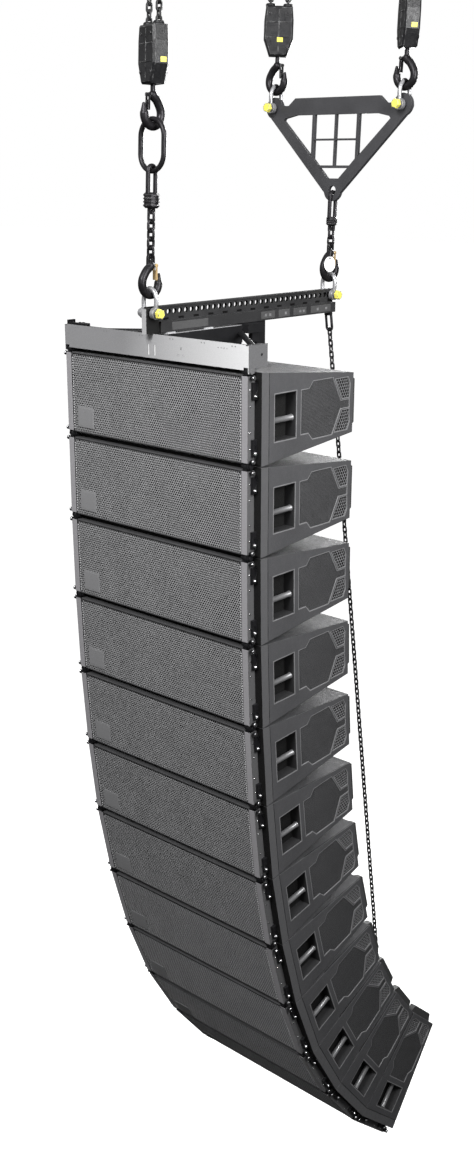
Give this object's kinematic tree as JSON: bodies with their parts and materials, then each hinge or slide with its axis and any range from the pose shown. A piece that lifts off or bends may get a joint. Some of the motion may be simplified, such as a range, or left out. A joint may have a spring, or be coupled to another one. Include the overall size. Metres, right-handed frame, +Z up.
{
  "type": "line array speaker",
  "caption": "Curved hang of wedge-shaped loudspeaker cabinets hinged below a flying frame and load beam, on shackles, hooks and a spreader plate.",
  "frame": {"origin": "centre of the front shackle's pin in the load beam, where the array hangs and pitches", "axes": "+X to the right of someone facing the grilles, +Y from the grilles towards the rear, +Z up"},
  "size_m": [1, 1.6166, 5.0538],
  "materials": {
    "cabinet_paint": "textured dark grey paint on plywood",
    "grille_steel": "satin powder coat",
    "rigging_steel": "satin grey coat",
    "driver_metal": "matt black",
    "frame_paint": "satin grey coat",
    "beam_steel": "dark satin coat",
    "tackle_steel": "worn forged steel",
    "latch_steel": "yellow zinc",
    "hoist_paint": "black coat",
    "plate_paint": "black satin coat",
    "chain_steel": "dark steel"
  },
  "bodies": {
    "front_pick": {"front_sling": "tackle_steel"},
    "front_latch": {"front_sling_latch": "latch_steel"},
    "front_hoist": {"front_hoist_block": "hoist_paint"},
    "array_frame": {"flying_frame": "frame_paint", "load_beam": "beam_steel", "rear_chain": "chain_steel", "housing_01": "cabinet_paint", "grille_01": "grille_steel", "rigging_01": "rigging_steel", "drivers_01": "driver_metal"},
    "rear_pick": {"rear_sling": "tackle_steel", "delta_plate": "plate_paint", "delta_hooks": "tackle_steel"},
    "rear_latch": {"rear_sling_latch": "latch_steel"},
    "rear_hoist_left": {"rear_hoist_block_left": "hoist_paint"},
    "rear_hoist_right": {"rear_hoist_block_right": "hoist_paint"},
    "cabinet_02": {"housing_02": "cabinet_paint", "grille_02": "grille_steel", "rigging_02": "rigging_steel", "drivers_02": "driver_metal"},
    "cabinet_03": {"housing_03": "cabinet_paint", "grille_03": "grille_steel", "rigging_03": "rigging_steel", "drivers_03": "driver_metal"},
    "cabinet_04": {"housing_04": "cabinet_paint", "grille_04": "grille_steel", "rigging_04": "rigging_steel", "drivers_04": "driver_metal"},
    "cabinet_05": {"housing_05": "cabinet_paint", "grille_05": "grille_steel", "rigging_05": "rigging_steel", "drivers_05": "driver_metal"},
    "cabinet_06": {"housing_06": "cabinet_paint", "grille_06": "grille_steel", "rigging_06": "rigging_steel", "drivers_06": "driver_metal"},
    "cabinet_07": {"housing_07": "cabinet_paint", "grille_07": "grille_steel", "rigging_07": "rigging_steel", "drivers_07": "driver_metal"},
    "cabinet_08": {"housing_08": "cabinet_paint", "grille_08": "grille_steel", "rigging_08": "rigging_steel", "drivers_08": "driver_metal"},
    "cabinet_09": {"housing_09": "cabinet_paint", "grille_09": "grille_steel", "rigging_09": "rigging_steel", "drivers_09": "driver_metal"},
    "cabinet_10": {"housing_10": "cabinet_paint", "grille_10": "grille_steel", "rigging_10": "rigging_steel", "drivers_10": "driver_metal"},
    "cabinet_11": {"housing_11": "cabinet_paint", "grille_11": "grille_steel", "rigging_11": "rigging_steel", "drivers_11": "driver_metal"},
    "cabinet_12": {"housing_12": "cabinet_paint", "grille_12": "grille_steel", "rigging_12": "rigging_steel", "drivers_12": "driver_metal"}
  },
  "joints": [
    {"name": "array_pitch", "type": "hinge", "parent": "front_pick", "child": "array_frame", "pos_m": [0, 0, 0], "axis": [1, 0, 0], "range_deg": [-4, 2]},
    {"name": "rear_lift", "type": "slide", "parent": "front_pick", "child": "rear_pick", "axis": [0, 0, 1], "range_m": [-0.0716, 0.0361]},
    {"name": "splay_02", "type": "hinge", "parent": "array_frame", "child": "cabinet_02", "pos_m": [0, 0.04157, -0.49366], "axis": [1, 0, 0], "range_deg": [0, 10]},
    {"name": "splay_03", "type": "hinge", "parent": "cabinet_02", "child": "cabinet_03", "pos_m": [0, 0.05597, -0.82334], "axis": [1, 0, 0], "range_deg": [-1, 9]},
    {"name": "splay_04", "type": "hinge", "parent": "cabinet_03", "child": "cabinet_04", "pos_m": [0, 0.07611, -1.15273], "axis": [1, 0, 0], "range_deg": [-1.5, 8.5]},
    {"name": "splay_05", "type": "hinge", "parent": "cabinet_04", "child": "cabinet_05", "pos_m": [0, 0.10487, -1.48147], "axis": [1, 0, 0], "range_deg": [-2, 8]},
    {"name": "splay_06", "type": "hinge", "parent": "cabinet_05", "child": "cabinet_06", "pos_m": [0, 0.14509, -1.80901], "axis": [1, 0, 0], "range_deg": [-2.5, 7.5]},
    {"name": "splay_07", "type": "hinge", "parent": "cabinet_06", "child": "cabinet_07", "pos_m": [0, 0.19956, -2.13449], "axis": [1, 0, 0], "range_deg": [-4.5, 5.5]},
    {"name": "splay_08", "type": "hinge", "parent": "cabinet_07", "child": "cabinet_08", "pos_m": [0, 0.27939, -2.45468], "axis": [1, 0, 0], "range_deg": [-4.5, 5.5]},
    {"name": "splay_09", "type": "hinge", "parent": "cabinet_08", "child": "cabinet_09", "pos_m": [0, 0.3841, -2.76763], "axis": [1, 0, 0], "range_deg": [-6, 4]},
    {"name": "splay_10", "type": "hinge", "parent": "cabinet_09", "child": "cabinet_10", "pos_m": [0, 0.52095, -3.06792], "axis": [1, 0, 0], "range_deg": [-8.5, 1.5]},
    {"name": "splay_11", "type": "hinge", "parent": "cabinet_10", "child": "cabinet_11", "pos_m": [0, 0.70068, -3.34468], "axis": [1, 0, 0], "range_deg": [-8, 2]},
    {"name": "splay_12", "type": "hinge", "parent": "cabinet_11", "child": "cabinet_12", "pos_m": [0, 0.91718, -3.59373], "axis": [1, 0, 0], "range_deg": [-10, 0], "deforming": ["rear_chain"]},
    {"name": "front_latch_turn", "type": "hinge", "parent": "front_pick", "child": "front_latch", "pos_m": [0, 0.023, 0.1657], "axis": [-1, 0, 0], "range_deg": [0, 28], "stiffness_Nm_per_rad": 0.05, "springref_deg": -34.38},
    {"name": "rear_latch_turn", "type": "hinge", "parent": "rear_pick", "child": "rear_latch", "pos_m": [0, 1.04203, 0.21019], "axis": [-1, 0, 0], "range_deg": [0, 28], "stiffness_Nm_per_rad": 0.05, "springref_deg": -34.38},
    {"name": "front_block_swivel", "type": "hinge", "parent": "front_pick", "child": "front_hoist", "pos_m": [0, 0, 0.67384], "axis": [0, 0, 1], "range_deg": [-45, 45]},
    {"name": "rear_left_block_swivel", "type": "hinge", "parent": "rear_pick", "child": "rear_hoist_left", "pos_m": [-0.322, 1.01903, 0.87663], "axis": [0, 0, 1], "range_deg": [-45, 45]},
    {"name": "rear_right_block_swivel", "type": "hinge", "parent": "rear_pick", "child": "rear_hoist_right", "pos_m": [0.322, 1.01903, 0.87663], "axis": [0, 0, 1], "range_deg": [-45, 45]}
  ],
  "couplings": [
    {"joint": "rear_lift", "follows": "array_pitch", "m_per_rad": 1.019}
  ]
}
